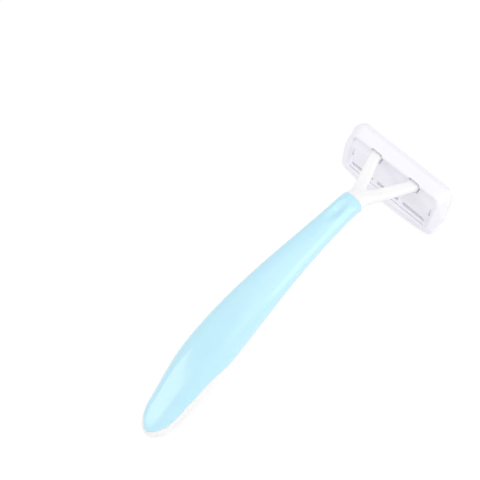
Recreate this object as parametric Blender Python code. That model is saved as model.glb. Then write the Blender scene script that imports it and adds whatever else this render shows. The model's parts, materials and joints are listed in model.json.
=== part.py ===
"""A body shaver with a swinging head, modelled piece by piece.

The pieces are a white handle core with a two-armed fork, a coloured grip cover set into the core,
and a head of four: a base with its pocket and guard bar, a cap, a blade strip, and one fine wire
wound round the blade. The arms carry the head on two short pins, and it swings about them.

Sizes are in millimetres and the meshes are scaled to metres when they are made. The handle is
drawn in its own frame, with the origin on the pins' axis, X towards the head and Z up. The head is
drawn in a frame of its own: x runs from the guard edge to the far edge, y along the blade and z
from the face to the back. Both are then laid on the ground as the shaver lies on a table.
"""

import math

import bmesh
import bpy
from mathutils import Matrix, Vector

MM = 0.001

# How far a cutter reaches past what it cuts
BEYOND = 40.0

# Clearances between neighbours
SEAM = 0.3
SWING_GAP = 0.35
PIN_GAP = 0.25
WIRE_GAP = 0.12
SEAT_GAP = 0.2

# Handle, along X from the pins' axis
NECK_REACH = 20.55
NECK_RISE = 9.35
GRIP_LENGTH = 101.7
TAIL_DROP = 8.75
ARCH_RISE = 7.9
NECK_STUB = 2.2
STUB_ROUND = 0.6
STUB_FRONT_SHARE = 0.93

# Handle sections
NECK_WIDTH = 7.5
GRIP_WIDTH = 15.9
TAIL_WIDTH = 11.5
NECK_THICKNESS = 5.4
GRIP_THICKNESS = 9.0
TAIL_THICKNESS = 6.6
SECTION_POWER = 2.7
CROWN_SHARE = 0.5
CHANNEL_DEPTH = 0.7
CHANNEL_SHARE = 0.62

# Where along the grip, from neck to tail, the widths and the tail's round end begin
WIDEST_SHARE = 0.70
TAIL_WIDTH_SHARE = 0.95
TAIL_ROUND_SHARE = 0.915

# Where along the grip the cover's edge climbs the flank, and where it begins to close round the tail
COVER_CLIMB_SHARE = 0.56
COVER_LEVEL_SHARE = 0.75
COVER_CLOSE_SHARE = 0.88

# Grip cover
COVER_WALL = 1.2
COVER_TIP_INSET = 1.9
COVER_BLUNT = 0.25
COVER_EDGE_SHARE = 0.42
COVER_WAVE_SHARE = 0.13
COVER_WAVE_LENGTH = 14.0
COVER_TAIL_EDGE_SHARE = 0.50
GROOVE_LENGTH = 9.0
GROOVE_WIDTH = 2.2
GROOVE_DEPTH = 0.55
GROOVE_REACH = 6.0

# Fork
ARM_WIDTH = 4.1
ARM_THICKNESS = 2.6
ARM_SPACING = 17.0
ARM_STRAIGHT = 2.6
ARM_SLOPE = 0.408
CROTCH_SETBACK = 5.4
CROTCH_ROUND = 0.9
SHOULDER_ROUND = 3.0
ELBOW_ROUND = 4.0
SHOULDER_SETBACK = 2.75
ARM_EDGE_ROUND = 0.7
PIN_RADIUS = 0.75
PIN_LENGTH = 1.2

# Head outline
HEAD_TILT = 40.9
HEAD_DEPTH = 18.25
GUARD_WIDTH = 41.7
WIDEST_WIDTH = 44.9
WIDEST_X = 7.9
FAR_WIDTH = 42.4
GUARD_BOW = 1.4
GUARD_HEIGHT = 2.05
FAR_HEIGHT = 3.3
FACE_ROUND = 0.8
NEAR_CORNER = 2.4
FAR_CORNER = 3.4

# Head pocket and its sloping rim
POCKET_NEAR_X = 1.85
POCKET_FAR_X = 14.1
POCKET_NEAR_WIDTH = 36.9
POCKET_FAR_WIDTH = 38.0
POCKET_CORNER = 1.6
NEAR_RIM_HEIGHT = 3.3
FAR_RIM_HEIGHT = 6.15
RIM_LAND_NEAR = 0.5
RIM_LAND = 1.0
RIM_CHAMFER = 0.3
RIM_BOW = 0.6
FLOOR_NEAR_HEIGHT = 2.8
FLOOR_FAR_HEIGHT = 4.6
FLOOR_RISE_FROM = 5.0
FLOOR_RISE_TO = 10.4

# Rinse slots and the recess in front of the blade
SLOT_COUNT = 3
SLOT_LENGTH = 10.0
SLOT_WIDTH = 1.3
SLOT_SPACING = 11.85
SLOT_X = 3.7
GUARD_BAR = 2.5
RECESS_DEPTH = 1.9
WINDOW_WIDTH = 35.5

# Cap
CAP_THICKNESS = 1.65
CAP_END_X = 5.3
LIP_X = 6.2
TAB_THICKNESS = 0.55
TAB_LENGTH = 2.8
TAB_X = 8.0
TAB_HEIGHT = 1.1
VENT_WIDTH = 0.45

# Blade and guard wire
BLADE_LENGTH = 34.1
BLADE_DEPTH = 4.4
BLADE_THICKNESS = 0.2
BEVEL_DEPTH = 0.7
BLADE_SLOPE = 24.0
EDGE_X = 4.8
EDGE_HEIGHT = 0.35
WIRE_DIAMETER = 0.24
WIRE_TURNS = 24
WIRE_MARGIN = 0.25

# Pivot of the head
PIVOT_X = 14.0
PIVOT_HEIGHT = 3.35
SWING_ANGLE = 15.0

WELD = 0.006
GRIP_RINGS = 30
COVER_POINTS = 11
SECTION_POINTS = 32


def smoothstep(t):
    t = min(max(t, 0.0), 1.0)
    return t * t * (3.0 - 2.0 * t)


def arch(x):
    """Height and slope of the grip's spine at x, a rise on the chord from the neck to the tail."""
    u = (-NECK_REACH - x) / GRIP_LENGTH
    height = NECK_RISE - TAIL_DROP * u + ARCH_RISE * math.sin(math.pi * u)
    slope = (TAIL_DROP - ARCH_RISE * math.pi * math.cos(math.pi * u)) / GRIP_LENGTH
    return height, slope


def spine(x):
    """Height and slope of the whole handle's centre line: straight arms, a bend, then the arch."""
    bend_from = -0.68 * NECK_REACH
    bend_to = -1.16 * NECK_REACH
    if x >= bend_from:
        return -ARM_SLOPE * x, -ARM_SLOPE
    if x <= bend_to:
        return arch(x)
    span = bend_to - bend_from
    t = (x - bend_from) / span
    h0, m0 = -ARM_SLOPE * bend_from, -ARM_SLOPE * span
    h1, slope1 = arch(bend_to)
    m1 = slope1 * span
    height = ((2 * t**3 - 3 * t**2 + 1) * h0 + (t**3 - 2 * t**2 + t) * m0
              + (3 * t**2 - 2 * t**3) * h1 + (t**3 - t**2) * m1)
    rate = ((6 * t**2 - 6 * t) * h0 + (3 * t**2 - 4 * t + 1) * m0
            + (6 * t - 6 * t**2) * h1 + (3 * t**2 - 2 * t) * m1)
    return height, rate / span


def on_spine(x, side, lift):
    """The point at a sideways and a lifted distance from the centre line at x."""
    height, slope = spine(x)
    length = math.hypot(1.0, slope)
    return Vector((x - lift * slope / length, side, height + lift / length))


def grip_x(u):
    return -NECK_REACH - u * GRIP_LENGTH


def grip_section(u):
    """Half width, height of the crown and depth of the underside at a share of the grip."""
    if u < WIDEST_SHARE:
        half = NECK_WIDTH + (GRIP_WIDTH - NECK_WIDTH) * smoothstep(u / WIDEST_SHARE)
        thick = NECK_THICKNESS + (GRIP_THICKNESS - NECK_THICKNESS) * smoothstep(u / WIDEST_SHARE)
    else:
        t = (u - WIDEST_SHARE) / (TAIL_WIDTH_SHARE - WIDEST_SHARE)
        half = GRIP_WIDTH + (TAIL_WIDTH - GRIP_WIDTH) * smoothstep(t)
        thick = GRIP_THICKNESS + (TAIL_THICKNESS - GRIP_THICKNESS) * smoothstep(t)
    closing = max(0.0, (u - TAIL_ROUND_SHARE) / (1.0 - TAIL_ROUND_SHARE))
    plan = math.sqrt(max(0.0, 1.0 - closing**2))
    half *= 0.5 * plan
    thick *= plan**0.6
    return half, thick * CROWN_SHARE, thick * (1.0 - CROWN_SHARE)


def section_point(u, angle):
    """Side and lift of the grip's outline at an angle from the crown, with the channel below."""
    half, crown, under = grip_section(u)
    power = 2.0 / SECTION_POWER
    side = half * math.copysign(abs(math.sin(angle)) ** power, math.sin(angle))
    up = math.copysign(abs(math.cos(angle)) ** power, math.cos(angle))
    lift = crown * up if up > 0 else under * up
    channel = CHANNEL_SHARE * half
    if up < 0 and abs(side) < channel:
        fade = under / (0.5 * GRIP_THICKNESS)
        lift += CHANNEL_DEPTH * fade * (1.0 - (side / channel) ** 2) ** 2
    return side, lift


def inset_point(u, angle, depth):
    """The outline's point at an angle on the same section drawn in by a depth."""
    half, crown, under = grip_section(u)
    side, lift = section_point(u, angle)
    reach = crown if lift > 0 else under
    return side * (half - depth) / half, lift * (reach - depth) / reach


def groove(x, side):
    """Depth of the thumb groove that is scooped into the cover's top behind the neck."""
    along = (x + NECK_REACH + GROOVE_REACH) / (0.5 * GROOVE_LENGTH)
    across = side / (0.5 * GROOVE_WIDTH)
    inside = max(0.0, 1.0 - along**2) * max(0.0, 1.0 - across**2)
    return GROOVE_DEPTH * math.sqrt(inside)


def cover_edge_angle(u):
    """Angle from the crown to the cover's edge: scalloped, higher at the tail, closed in an arc."""
    tip = 1.0 - COVER_TIP_INSET / GRIP_LENGTH
    wave = COVER_WAVE_SHARE * math.sin(2.0 * math.pi * u * GRIP_LENGTH / COVER_WAVE_LENGTH)
    climb = smoothstep((u - COVER_CLIMB_SHARE) / (COVER_LEVEL_SHARE - COVER_CLIMB_SHARE))
    closing = min(max((u - COVER_CLOSE_SHARE) / (tip - COVER_CLOSE_SHARE), 0.0), 1.0)
    level = (wave - COVER_EDGE_SHARE) * (1.0 - climb) + COVER_TAIL_EDGE_SHARE * climb
    level = 1.0 - (1.0 - level) * (1.0 - closing**1.5) ** (0.5 * SECTION_POWER)
    return math.acos(math.copysign(abs(level) ** (0.5 * SECTION_POWER), level))


def edge_step(u, distance):
    """The angle that moves a given distance along the outline near the cover's edge."""
    angle = cover_edge_angle(u)
    a = Vector(section_point(u, angle))
    b = Vector(section_point(u, angle + 0.02))
    return 0.02 * distance / max((b - a).length, 0.004)


def rounded(corners):
    """An outline with each corner (x, y, radius, steps) turned into an arc of steps + 1 points."""
    points = []
    count = len(corners)
    for i, (x, y, radius, steps) in enumerate(corners):
        here = Vector((x, y))
        before = (Vector(corners[i - 1][:2]) - here).normalized()
        after = (Vector(corners[(i + 1) % count][:2]) - here).normalized()
        half_angle = 0.5 * before.angle(after)
        if radius <= 0.0 or half_angle > 1.5:
            points.extend([here.copy() for _ in range(steps + 1 if radius > 0.0 else 1)])
            continue
        reach = radius / math.tan(half_angle)
        centre = here + (before + after).normalized() * (radius / math.sin(half_angle))
        start = here + before * reach - centre
        end = here + after * reach - centre
        turn = math.atan2(start.x * end.y - start.y * end.x, start.dot(end))
        for k in range(steps + 1):
            a = turn * k / steps
            points.append(centre + Vector((start.x * math.cos(a) - start.y * math.sin(a),
                                           start.x * math.sin(a) + start.y * math.cos(a))))
    return points


def make_object(name, mesh_builder):
    """An object from a bmesh in millimetres, closed and facing out."""
    bmesh.ops.remove_doubles(mesh_builder, verts=mesh_builder.verts, dist=1e-4)
    bmesh.ops.triangulate(mesh_builder, faces=mesh_builder.faces)
    bmesh.ops.recalc_face_normals(mesh_builder, faces=mesh_builder.faces)
    mesh = bpy.data.meshes.new(name)
    mesh_builder.to_mesh(mesh)
    mesh_builder.free()
    thing = bpy.data.objects.new(name, mesh)
    bpy.context.scene.collection.objects.link(thing)
    return thing


def loft(name, rings):
    """A solid through closed rings of equally many points, capped at both ends."""
    builder = bmesh.new()
    rows = [[builder.verts.new(point) for point in ring] for ring in rings]
    count = len(rows[0])
    for low, high in zip(rows, rows[1:]):
        for k in range(count):
            n = (k + 1) % count
            builder.faces.new((low[k], low[n], high[n], high[k]))
    builder.faces.new(rows[0][::-1])
    builder.faces.new(rows[-1])
    return make_object(name, builder)


def block(a_from, a_to, b_from, b_to):
    """The four corners of a rectangle."""
    return [(a_from, b_from), (a_to, b_from), (a_to, b_to), (a_from, b_to)]


def prism_along_y(name, profile, y_from, y_to):
    """A solid with an outline of (x, z) points, from one y to another."""
    return loft(name, [[Vector((x, y, z)) for x, z in profile] for y in (y_from, y_to)])


def prism_along_x(name, profile, x_from, x_to):
    """A solid with an outline of (y, z) points, from one x to another."""
    return loft(name, [[Vector((x, y, z)) for y, z in profile] for x in (x_from, x_to)])


def prism_along_z(name, outline, z_from, z_to):
    """A solid with an outline of (x, y) points, from one z to another."""
    return loft(name, [[Vector((p[0], p[1], z)) for p in outline] for z in (z_from, z_to)])


def cylinder_along_y(name, x, z, radius, y_from, y_to, sides=24):
    turns = [2.0 * math.pi * k / sides for k in range(sides)]
    profile = [(x + radius * math.cos(turn), z + radius * math.sin(turn)) for turn in turns]
    return prism_along_y(name, profile, y_from, y_to)


def combine(target, tools, operation):
    """Runs exact Booleans of the target with each tool, and welds what nearly coincides."""
    for tool in tools:
        step = target.modifiers.new(tool.name, "BOOLEAN")
        step.operation = operation
        step.solver = "EXACT"
        step.object = tool
    bpy.context.view_layer.update()
    depsgraph = bpy.context.evaluated_depsgraph_get()
    made = bpy.data.meshes.new_from_object(target.evaluated_get(depsgraph))
    target.modifiers.clear()
    for tool in tools:
        bpy.data.objects.remove(tool)
    builder = bmesh.new()
    builder.from_mesh(made)
    bmesh.ops.remove_doubles(builder, verts=builder.verts, dist=WELD)
    bmesh.ops.dissolve_degenerate(builder, edges=builder.edges, dist=0.5 * WELD)
    bmesh.ops.triangulate(builder, faces=builder.faces)
    builder.to_mesh(made)
    builder.free()
    target.data = made
    return target


def material(name, colour, roughness, metallic=0.0):
    made = bpy.data.materials.new(name)
    made.use_nodes = True
    shader = made.node_tree.nodes["Principled BSDF"]
    shader.inputs["Base Color"].default_value = (*colour, 1.0)
    shader.inputs["Roughness"].default_value = roughness
    shader.inputs["Metallic"].default_value = metallic
    return made


def finish(thing, look, sharp_angle=35.0):
    """Scales a piece to metres and gives it smooth shading, crisp edges and its own material."""
    thing.data.transform(Matrix.Scale(MM, 4))
    thing.data.materials.clear()
    thing.data.materials.append(look)
    thing.data.shade_smooth()
    thing.data.set_sharp_from_angle(angle=math.radians(sharp_angle))
    return thing


def eased(count, start, end):
    """Shares from start to end, closer together towards the end."""
    return [start + (end - start) * math.sin(0.5 * math.pi * k / count) for k in range(count + 1)]


def tail_plan(closing):
    """The share of the grip at which the tail's round end has come a given share of its way."""
    return TAIL_ROUND_SHARE + (1.0 - TAIL_ROUND_SHARE) * closing


def grip_stations(last):
    """Shares of the grip for its rings, from the neck to the last one near the tail tip."""
    body = [TAIL_ROUND_SHARE * k / GRIP_RINGS for k in range(GRIP_RINGS)]
    return body + [u for u in eased(7, TAIL_ROUND_SHARE, tail_plan(0.992)) if u < last] + [last]


def make_core_body():
    """The core's outside: the grip's full section, closed by a round tail."""
    stub = [(-NECK_STUB / GRIP_LENGTH, STUB_FRONT_SHARE), ((STUB_ROUND - NECK_STUB) / GRIP_LENGTH, 1.0)]
    rings = []
    for u, share in stub + [(u, 1.0) for u in grip_stations(tail_plan(0.992))]:
        ring = []
        for k in range(SECTION_POINTS):
            side, lift = section_point(max(u, 0.0), 2.0 * math.pi * (k + 0.5) / SECTION_POINTS)
            ring.append(on_spine(grip_x(u), share * side, share * lift))
        rings.append(ring)
    return loft("handle_core", rings)


def cover_rings(widen, inner_depth, outer_depth, extend, carve):
    """C-shaped rings: an outer arc from edge to edge over the crown, then an inner arc back."""
    blunt = 1.0 - (COVER_TIP_INSET + COVER_BLUNT) / GRIP_LENGTH
    stations = [0.0] + [s for s in grip_stations(blunt) if s > 0.0]
    if extend:
        stations = [-extend / GRIP_LENGTH] + stations + [blunt + extend / GRIP_LENGTH]
    rings = []
    for u in stations:
        shape_u = min(max(u, 0.0), blunt)
        limit = cover_edge_angle(shape_u) + edge_step(shape_u, widen)
        outer = []
        inner = []
        for k in range(2 * COVER_POINTS + 1):
            angle = limit * (k - COVER_POINTS) / COVER_POINTS
            side, lift = inset_point(max(u, 0.0), angle, outer_depth)
            if carve:
                lift -= groove(grip_x(u), side)
            outer.append(on_spine(grip_x(u), side, lift))
            side, lift = inset_point(max(u, 0.0), angle, inner_depth)
            inner.append(on_spine(grip_x(u), side, lift))
        rings.append(outer + inner[::-1])
    return rings


def make_grip_cover():
    """The cover: a wall of even thickness over the top and flanks, with a scalloped lower edge."""
    return loft("grip_cover", cover_rings(0.0, COVER_WALL, 0.0, 0.0, True))


def make_cover_recess():
    """What is cut from the core for the cover, with a seam all round."""
    return loft("cover_recess", cover_rings(SEAM, COVER_WALL + SEAM, -1.0, SEAM, False))


def fork_outline():
    """The fork in plan: a neck that parts into two arms with a rounded crotch between them."""
    half = 0.5 * ARM_SPACING
    outer = half + 0.5 * ARM_WIDTH
    inner = half - 0.5 * ARM_WIDTH
    neck = 0.5 * NECK_WIDTH - 0.15
    root = -NECK_REACH - 0.4 * NECK_STUB + 1.6
    side = [(root, neck - 0.1, 0.0, 0), (SHOULDER_SETBACK - NECK_REACH, neck, SHOULDER_ROUND, 4),
            (-ARM_STRAIGHT, outer, ELBOW_ROUND, 4), (0.3, outer, 0.0, 0), (0.3, inner, 0.0, 0),
            (-ARM_STRAIGHT, inner, SHOULDER_ROUND, 4)]
    mirrored = [(x, -y, radius, steps) for x, y, radius, steps in reversed(side)]
    return rounded(side + [(CROTCH_SETBACK - NECK_REACH, 0.0, CROTCH_ROUND, 6)] + mirrored)


def make_fork():
    """The fork as a plate with rounded edges, bent along the spine and rounded out at the neck."""
    builder = bmesh.new()
    level = -0.5 * ARM_THICKNESS
    base = builder.faces.new([builder.verts.new((p.x, p.y, level)) for p in fork_outline()])
    grown = bmesh.ops.extrude_face_region(builder, geom=[base])
    lifted = [item for item in grown["geom"] if isinstance(item, bmesh.types.BMVert)]
    bmesh.ops.translate(builder, vec=(0.0, 0.0, ARM_THICKNESS), verts=lifted)
    rims = [edge for edge in builder.edges if abs(edge.verts[0].co.z - edge.verts[1].co.z) < 1e-6]
    bmesh.ops.bevel(builder, geom=rims, offset=ARM_EDGE_ROUND, segments=3, profile=0.5, affect="EDGES")
    cuts = [((-NECK_REACH * k / 12.0, 0.0, 0.0), (1.0, 0.0, 0.0)) for k in range(1, 12)]
    cuts += [((0.0, 0.16 * NECK_WIDTH * k, 0.0), (0.0, 1.0, 0.0)) for k in range(-2, 3)]
    for place, normal in cuts:
        everything = builder.verts[:] + builder.edges[:] + builder.faces[:]
        bmesh.ops.bisect_plane(builder, geom=everything, plane_co=place, plane_no=normal, dist=1e-5)
    bmesh.ops.triangulate(builder, faces=builder.faces)
    for vertex in builder.verts:
        x, side, lift = vertex.co
        widening = smoothstep((-x - 0.55 * NECK_REACH) / (0.45 * NECK_REACH))
        thick = ARM_THICKNESS + (NECK_THICKNESS - 0.25 - ARM_THICKNESS) * widening
        level = lift / (0.5 * ARM_THICKNESS)
        share = min(abs(side) / (0.5 * NECK_WIDTH), 1.0)
        rounding = smoothstep((-x - 0.72 * NECK_REACH) / (0.18 * NECK_REACH))
        crown = (1.0 - share**SECTION_POWER) ** (1.0 / SECTION_POWER)
        level *= 1.0 + rounding * (max(crown, 0.25) - 1.0)
        vertex.co = on_spine(x, side, 0.5 * thick * level)
    return make_object("fork", builder)


def make_handle_core():
    """The white moulding: grip core with the cover's recess, neck, two arms and their pins."""
    core = combine(make_core_body(), [make_cover_recess()], "DIFFERENCE")
    joined = [make_fork()]
    half = 0.5 * ARM_SPACING
    for sign in (1.0, -1.0):
        inner = sign * (half - 0.5 * ARM_WIDTH - 0.03)
        outer = sign * (half + 0.5 * ARM_WIDTH + 0.03)
        pin_end = outer + sign * PIN_LENGTH
        joined.append(cylinder_along_y("boss", 0.0, 0.0, 0.5 * ARM_THICKNESS + 0.02, inner, outer))
        joined.append(cylinder_along_y("pin", 0.0, 0.0, PIN_RADIUS, outer - sign * 0.5, pin_end, 16))
    return combine(core, joined, "UNION")


def wall_height(x):
    """Height of the head's upright outer wall, which grows from the guard to the far edge."""
    return GUARD_HEIGHT + (FAR_HEIGHT - GUARD_HEIGHT) * x / HEAD_DEPTH


def rim_height(x):
    """Height of the pocket's sloping rim."""
    share = (x - POCKET_NEAR_X) / (POCKET_FAR_X - POCKET_NEAR_X)
    return NEAR_RIM_HEIGHT + (FAR_RIM_HEIGHT - NEAR_RIM_HEIGHT) * share


def head_outline(near, far, near_half, wide_half, far_half, bow, near_corner, far_corner):
    """The head in plan, from a bowed guard edge past its widest line to a straight far edge."""
    shares = [k / 3.0 for k in range(2, -3, -1)]
    edge = [(near - bow * (1.0 - s * s), s * near_half, 0.0, 0) for s in shares]
    around = [(near, -near_half, near_corner, 4), (WIDEST_X, -wide_half, 0.0, 0)]
    around += [(far, -far_half, far_corner, 6), (far, far_half, far_corner, 6)]
    return rounded([(near, near_half, near_corner, 4)] + edge + around + [(WIDEST_X, wide_half, 0.0, 0)])


def head_ring(height, inset):
    """A ring of the head's outer wall, drawn in by an inset, at a height or at a height of x."""
    halves = [0.5 * width - inset for width in (GUARD_WIDTH, WIDEST_WIDTH, FAR_WIDTH)]
    outline = head_outline(inset, HEAD_DEPTH - inset, *halves, GUARD_BOW, NEAR_CORNER, FAR_CORNER)
    return [Vector((p.x, p.y, height(p.x) if callable(height) else height)) for p in outline]


def rim_ring(outset_near, outset, drop):
    """A ring round the pocket's mouth on the sloping rim, outset from the pocket and dropped."""
    near_half = 0.5 * POCKET_NEAR_WIDTH + outset
    far_half = 0.5 * POCKET_FAR_WIDTH + outset
    share = (WIDEST_X - POCKET_NEAR_X) / (POCKET_FAR_X - POCKET_NEAR_X)
    wide_half = near_half + (far_half - near_half) * share + 0.01
    outline = head_outline(POCKET_NEAR_X - outset_near, POCKET_FAR_X + outset, near_half, wide_half,
                           far_half, RIM_BOW, POCKET_CORNER + 0.5 * outset, POCKET_CORNER + outset)
    return [Vector((p.x, p.y, rim_height(p.x) - drop)) for p in outline]


def make_head_hull(name):
    """The outside of the closed head, from its face to the rim of the pocket."""
    return loft(name, [
        head_ring(0.0, FACE_ROUND),
        head_ring(0.12 * FACE_ROUND, 0.6 * FACE_ROUND),
        head_ring(0.4 * FACE_ROUND, 0.2 * FACE_ROUND),
        head_ring(FACE_ROUND, 0.0),
        head_ring(wall_height, 0.0),
        rim_ring(RIM_LAND_NEAR + RIM_CHAMFER, RIM_LAND + RIM_CHAMFER, RIM_CHAMFER),
        rim_ring(RIM_LAND_NEAR, RIM_LAND, 0.0),
    ])


def blade_line(x, offset):
    """Height at x of the line parallel to the blade, offset towards the back of the head."""
    slope = math.radians(BLADE_SLOPE)
    return EDGE_HEIGHT + (x - EDGE_X) * math.tan(slope) + offset / math.cos(slope)


def half_sandwich():
    """Half the room between base and cap for the blade with its winding."""
    return 0.5 * BLADE_THICKNESS + WIRE_GAP + WIRE_DIAMETER + SEAT_GAP


def blade_back_x():
    """Where the room for the blade ends, behind its back edge and the winding round it."""
    depth = BLADE_DEPTH + WIRE_GAP + WIRE_DIAMETER + SEAT_GAP
    return EDGE_X + depth * math.cos(math.radians(BLADE_SLOPE))


def seat_front_x():
    """Where the room for the blade begins, in front of its edge and the winding round it."""
    return EDGE_X - WIRE_GAP - WIRE_DIAMETER - SEAT_GAP


def floor_profile():
    """The room above the pocket's floor: low at the slots, risen to the far side."""
    low = [(-BEYOND, FLOOR_NEAR_HEIGHT), (FLOOR_RISE_FROM, FLOOR_NEAR_HEIGHT)]
    high = [(FLOOR_RISE_TO, FLOOR_FAR_HEIGHT), (BEYOND, FLOOR_FAR_HEIGHT)]
    return low + high + [(BEYOND, BEYOND), (-BEYOND, BEYOND)]


def make_pocket():
    """What is cut from the back of the base: the pocket with its chamfered mouth."""
    wall = [Vector((p.x, p.y, 0.5 * FLOOR_NEAR_HEIGHT)) for p in rim_ring(0.0, 0.0, 0.0)]
    beyond = rim_ring(4.0 * RIM_CHAMFER, 4.0 * RIM_CHAMFER, -3.0 * RIM_CHAMFER)
    pocket = loft("pocket", [wall, rim_ring(0.0, 0.0, RIM_CHAMFER), beyond])
    half = WIDEST_WIDTH
    return combine(pocket, [prism_along_y("above_floor", floor_profile(), -half, half)], "INTERSECT")


def arm_room():
    """Outline in (x, z) of the well round an arm's end, wide enough for the whole swing."""
    rest = 90.0 - math.degrees(math.atan(ARM_SLOPE)) - HEAD_TILT
    most, least = math.radians(rest + SWING_ANGLE), math.radians(rest - SWING_ANGLE)
    reach = 0.5 * ARM_THICKNESS + SWING_GAP
    near = (PIVOT_X - reach, PIVOT_HEIGHT - reach * math.tan(0.5 * most))
    far = (PIVOT_X + reach, PIVOT_HEIGHT + reach * math.tan(0.5 * least))
    near_top = (near[0] - BEYOND * math.sin(most), near[1] + BEYOND * math.cos(most))
    far_top = (far[0] - BEYOND * math.sin(least), far[1] + BEYOND * math.cos(least))
    foot = 0.5 * CAP_THICKNESS
    return [near_top, near, (near[0], foot), (far[0], foot), far, far_top]


def tab_range():
    """The span of a locating tab along x, and its two sides along y, clear of the blade's winding."""
    low, high = TAB_X - 0.5 * TAB_LENGTH, TAB_X + 0.5 * TAB_LENGTH
    inner = 0.5 * BLADE_LENGTH + WIRE_GAP + WIRE_DIAMETER
    return low, high, inner, inner + TAB_THICKNESS


def make_head_base():
    """The base: pocket, sloping far wall, rinse slots, guard bar, blade seat and arm wells."""
    base = make_head_hull("head_base")
    half = WIDEST_WIDTH
    window = 0.5 * WINDOW_WIDTH
    under_cap = CAP_THICKNESS + SEAM
    part_x = CAP_END_X - SEAM
    sheet = half_sandwich()
    seat_x, back_x = seat_front_x(), blade_back_x()
    recess = block(GUARD_BAR, seat_x, -BEYOND, RECESS_DEPTH)
    front_x = seat_x - SEAM
    blade_room = [(front_x, blade_line(front_x, sheet)), (back_x, blade_line(back_x, sheet))]
    blade_room += [(back_x, -CAP_THICKNESS), (front_x, -CAP_THICKNESS)]
    blade_half = 0.5 * BLADE_LENGTH + SEAM
    low, high, inner, outer = tab_range()
    tools = [
        make_pocket(),
        prism_along_y("cap_room", block(part_x, BEYOND, -BEYOND, under_cap), -half, half),
        prism_along_y("recess", recess, -window, window),
        prism_along_y("blade_room", blade_room, -blade_half, blade_half),
    ]
    for k in range(SLOT_COUNT):
        y = SLOT_SPACING * (k - 0.5 * (SLOT_COUNT - 1))
        reach_x, reach_y = 0.5 * SLOT_WIDTH, 0.5 * SLOT_LENGTH
        corner = 0.45 * SLOT_WIDTH
        ends = block(SLOT_X - reach_x, SLOT_X + reach_x, y - reach_y, y + reach_y)
        outline = rounded([(*end, corner, 3) for end in ends])
        tools.append(prism_along_z("slot", outline, 0.5 * RECESS_DEPTH, 1.5 * FLOOR_NEAR_HEIGHT))
    for sign in (1.0, -1.0):
        centre = sign * 0.5 * ARM_SPACING
        reach = sign * (0.5 * ARM_WIDTH + SWING_GAP)
        end = centre + reach
        tools.append(prism_along_y("arm_well", arm_room(), centre - reach, end))
        hole_from = end - sign * 0.5 * SWING_GAP
        hole_to = end + sign * (PIN_LENGTH - SWING_GAP + SEAM)
        hole_radius = PIN_RADIUS + PIN_GAP
        tools.append(cylinder_along_y("hole", PIVOT_X, PIVOT_HEIGHT, hole_radius, hole_from, hole_to, 16))
        tab_top = CAP_THICKNESS + TAB_HEIGHT + SEAM
        socket = block(sign * (inner - SEAM), sign * (outer + SEAM), 0.5 * CAP_THICKNESS, tab_top)
        tools.append(prism_along_x("tab_socket", socket, low - SEAM, high + SEAM))
        middle = sign * 0.5 * (inner + outer)
        vent = block(middle - 0.5 * VENT_WIDTH, middle + 0.5 * VENT_WIDTH, tab_top - SEAM, BEYOND)
        tools.append(prism_along_x("vent", vent, low, high))
    return combine(base, tools, "DIFFERENCE")


def make_tab(sign):
    """A locating tab on the cap's inside, which stands in the base's socket."""
    low, high, inner, outer = tab_range()
    top = CAP_THICKNESS + TAB_HEIGHT
    return prism_along_x("tab", block(sign * inner, sign * outer, 0.6 * CAP_THICKNESS, top), low, high)


def make_head_cap():
    """The cap: the smooth face with rounded edges, a thin lip over the blade and two tabs."""
    cap = make_head_hull("head_cap")
    half = WIDEST_WIDTH
    keep = block(CAP_END_X, BEYOND, -BEYOND, CAP_THICKNESS)
    combine(cap, [prism_along_y("cap_slab", keep, -half, half)], "INTERSECT")
    window = 0.5 * WINDOW_WIDTH
    sheet = -half_sandwich()
    blade_half = 0.5 * BLADE_LENGTH + SEAM
    above = 1.3 * CAP_THICKNESS
    top_x = EDGE_X + (above - blade_line(EDGE_X, sheet)) / math.tan(math.radians(BLADE_SLOPE))
    front_x = LIP_X - SEAM
    slope_profile = [(front_x, blade_line(front_x, sheet)), (top_x, above), (front_x, above)]
    combine(cap, [prism_along_y("window", block(0.5 * LIP_X, LIP_X, -BEYOND, BEYOND), -window, window),
                  prism_along_y("blade_slope", slope_profile, -blade_half, blade_half)], "DIFFERENCE")
    return combine(cap, [make_tab(1.0), make_tab(-1.0)], "UNION")


def on_blade(along, lift, y):
    """A point at a depth behind the cutting edge and a height square to the blade."""
    slope = math.radians(BLADE_SLOPE)
    return Vector((EDGE_X + along * math.cos(slope) - lift * math.sin(slope), y,
                   EDGE_HEIGHT + along * math.sin(slope) + lift * math.cos(slope)))


def make_blade():
    """The blade strip, ground to its edge from both sides."""
    thick = 0.5 * BLADE_THICKNESS
    upper = [(0.0, 0.02), (BEVEL_DEPTH, thick), (BLADE_DEPTH, thick)]
    section = upper + [(along, -lift) for along, lift in reversed(upper)]
    ends = (-0.5 * BLADE_LENGTH, 0.5 * BLADE_LENGTH)
    return loft("blade", [[on_blade(along, lift, y) for along, lift in section] for y in ends])


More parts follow.
